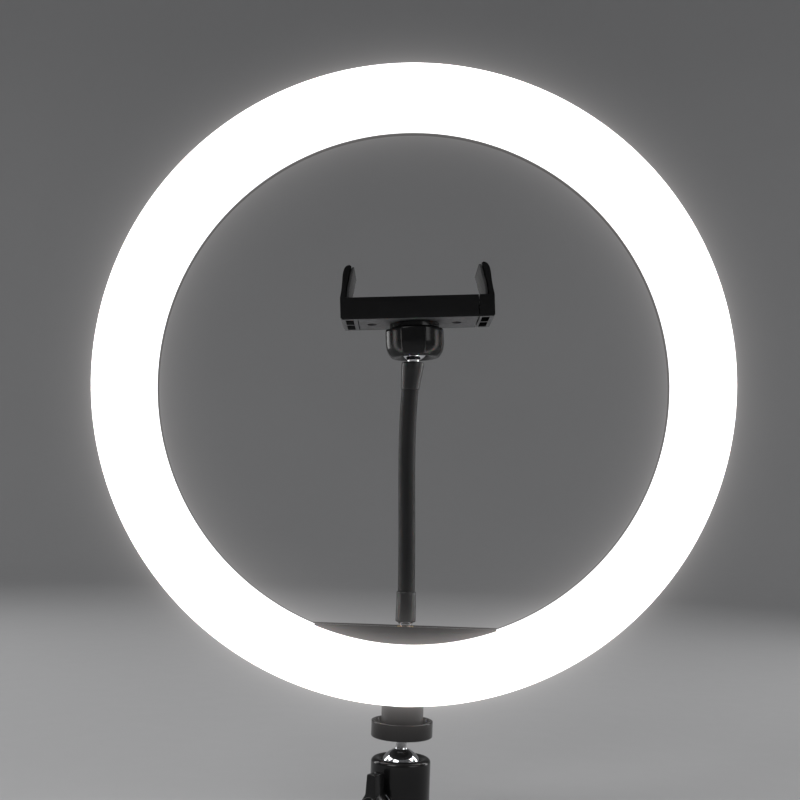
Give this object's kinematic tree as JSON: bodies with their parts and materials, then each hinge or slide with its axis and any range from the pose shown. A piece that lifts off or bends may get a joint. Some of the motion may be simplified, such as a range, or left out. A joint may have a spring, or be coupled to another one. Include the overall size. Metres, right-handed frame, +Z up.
{
  "type": "ring light",
  "caption": "Desktop ring light with a milky lit diffuser, a gooseneck carrying a sprung phone clamp inside the ring, and a small ball head under it.",
  "frame": {"origin": "centre of the ball head's flat base, where its threaded stand socket opens", "axes": "+Z up through the ball head and the ring's centre, -Y the way the light shines, +X to the right seen from the front"},
  "size_m": [0.26, 0.0398, 0.314],
  "materials": {
    "gloss_black": "gloss",
    "satin_grey": "satin",
    "sleeve_black": "satin",
    "rubber": "matte",
    "chrome": "polished",
    "zinc_steel": "plated",
    "brass": "machined",
    "milky_diffuser": "satin",
    "white_board": "satin",
    "nylon": "satin"
  },
  "bodies": {
    "base": {"ball_head_housing": "gloss_black", "base_insert": "brass", "pressure_pad": "brass", "knob_washer": "chrome"},
    "knob": {"lock_knob": "gloss_black", "knob_screw": "chrome"},
    "ball_pan": {"ball_seat": "nylon"},
    "ball": {"ball_stud": "chrome"},
    "disc": {"locking_disc": "gloss_black"},
    "ring": {"rear_housing": "gloss_black", "diffuser": "milky_diffuser", "led_board": "white_board", "ring_screw_1": "zinc_steel", "ring_screw_2": "zinc_steel", "ring_screw_3": "zinc_steel", "ring_screw_4": "zinc_steel", "ring_screw_5": "zinc_steel", "ring_screw_6": "zinc_steel", "cable_gland": "rubber", "neck_insert": "brass", "holder_block": "gloss_black", "block_insert": "brass", "block_screw_1": "zinc_steel", "block_screw_2": "zinc_steel", "gooseneck_stud": "chrome", "lower_ferrule": "satin_grey"},
    "neck_01": {"gooseneck_link_01": "sleeve_black"},
    "neck_02": {"gooseneck_link_02": "sleeve_black"},
    "neck_03": {"gooseneck_link_03": "sleeve_black"},
    "neck_04": {"gooseneck_link_04": "sleeve_black"},
    "neck_05": {"gooseneck_link_05": "sleeve_black"},
    "neck_06": {"gooseneck_link_06": "sleeve_black"},
    "neck_07": {"gooseneck_link_07": "sleeve_black"},
    "neck_08": {"gooseneck_link_08": "sleeve_black"},
    "neck_09": {"gooseneck_link_09": "sleeve_black"},
    "neck_10": {"gooseneck_link_10": "sleeve_black"},
    "neck_11": {"gooseneck_link_11": "sleeve_black", "upper_ferrule": "satin_grey", "clamp_ball": "chrome"},
    "nut": {"clamp_lock_nut": "gloss_black"},
    "clamp": {"clamp_socket": "gloss_black", "clamp_body": "gloss_black", "clamp_back_plate": "satin_grey", "plate_screw_1": "zinc_steel", "plate_screw_2": "zinc_steel", "fixed_jaw_pad": "rubber", "bed_pad": "rubber", "clamp_spring_1": "zinc_steel", "clamp_spring_2": "zinc_steel"},
    "jaw": {"sliding_jaw": "gloss_black", "sliding_jaw_pad": "rubber"}
  },
  "joints": [
    {"name": "knob_turn", "type": "hinge", "parent": "base", "child": "knob", "pos_m": [0, 0, 0.0158], "axis": [-0.5519, -0.8339, 0], "continuous": true},
    {"name": "head_pan", "type": "hinge", "parent": "base", "child": "ball_pan", "pos_m": [0, 0, 0.0274], "axis": [0, 0, 1], "continuous": true},
    {"name": "head_tilt", "type": "hinge", "parent": "ball_pan", "child": "ball", "pos_m": [0, 0, 0.0274], "axis": [1, 0, 0], "range_deg": [-35, 35]},
    {"name": "disc_turn", "type": "hinge", "parent": "ball", "child": "disc", "pos_m": [0, 0, 0.0438], "axis": [0, 0, 1], "continuous": true},
    {"name": "ring_turn", "type": "hinge", "parent": "ball", "child": "ring", "pos_m": [0, 0, 0.05], "axis": [0, 0, 1], "continuous": true},
    {"name": "gooseneck_pitch", "type": "hinge", "parent": "ring", "child": "neck_01", "pos_m": [0, 0.0031, 0.0991], "axis": [1, 0, 0], "range_deg": [-15, 15]},
    {"name": "gooseneck_side", "type": "hinge", "parent": "neck_01", "child": "neck_02", "pos_m": [0, 0.0031, 0.10664], "axis": [0, 1, 0], "range_deg": [-12, 12]},
    {"name": "gooseneck_pitch_2", "type": "hinge", "parent": "neck_02", "child": "neck_03", "pos_m": [0, 0.0031, 0.11417], "axis": [1, 0, 0], "range_deg": [-15, 15]},
    {"name": "gooseneck_side_2", "type": "hinge", "parent": "neck_03", "child": "neck_04", "pos_m": [0, 0.0031, 0.12171], "axis": [0, 1, 0], "range_deg": [-12, 12]},
    {"name": "gooseneck_pitch_3", "type": "hinge", "parent": "neck_04", "child": "neck_05", "pos_m": [0, 0.0031, 0.12924], "axis": [1, 0, 0], "range_deg": [-15, 15]},
    {"name": "gooseneck_side_3", "type": "hinge", "parent": "neck_05", "child": "neck_06", "pos_m": [0, 0.0031, 0.13678], "axis": [0, 1, 0], "range_deg": [-12, 12]},
    {"name": "gooseneck_pitch_4", "type": "hinge", "parent": "neck_06", "child": "neck_07", "pos_m": [0, 0.0031, 0.14432], "axis": [1, 0, 0], "range_deg": [-15, 15]},
    {"name": "gooseneck_side_4", "type": "hinge", "parent": "neck_07", "child": "neck_08", "pos_m": [0, 0.0031, 0.15185], "axis": [0, 1, 0], "range_deg": [-12, 12]},
    {"name": "gooseneck_pitch_5", "type": "hinge", "parent": "neck_08", "child": "neck_09", "pos_m": [0, 0.0031, 0.15939], "axis": [1, 0, 0], "range_deg": [-15, 15]},
    {"name": "gooseneck_side_5", "type": "hinge", "parent": "neck_09", "child": "neck_10", "pos_m": [0, 0.0031, 0.16693], "axis": [0, 1, 0], "range_deg": [-12, 12]},
    {"name": "gooseneck_pitch_6", "type": "hinge", "parent": "neck_10", "child": "neck_11", "pos_m": [0, 0.0031, 0.17446], "axis": [1, 0, 0], "range_deg": [-15, 15]},
    {"name": "clamp_tilt", "type": "hinge", "parent": "neck_11", "child": "nut", "pos_m": [0, 0.0031, 0.2], "axis": [0.9981, 0, 0.061], "range_deg": [-22, 22]},
    {"name": "clamp_turn", "type": "hinge", "parent": "nut", "child": "clamp", "pos_m": [0, 0.0031, 0.2], "axis": [-0.061, 0, 0.9981], "continuous": true},
    {"name": "jaw_slide", "type": "slide", "parent": "clamp", "child": "jaw", "axis": [0.9981, 0, 0.061], "range_m": [0, 0.033], "stiffness_N_per_m": 200, "springref_m": -0.015}
  ]
}
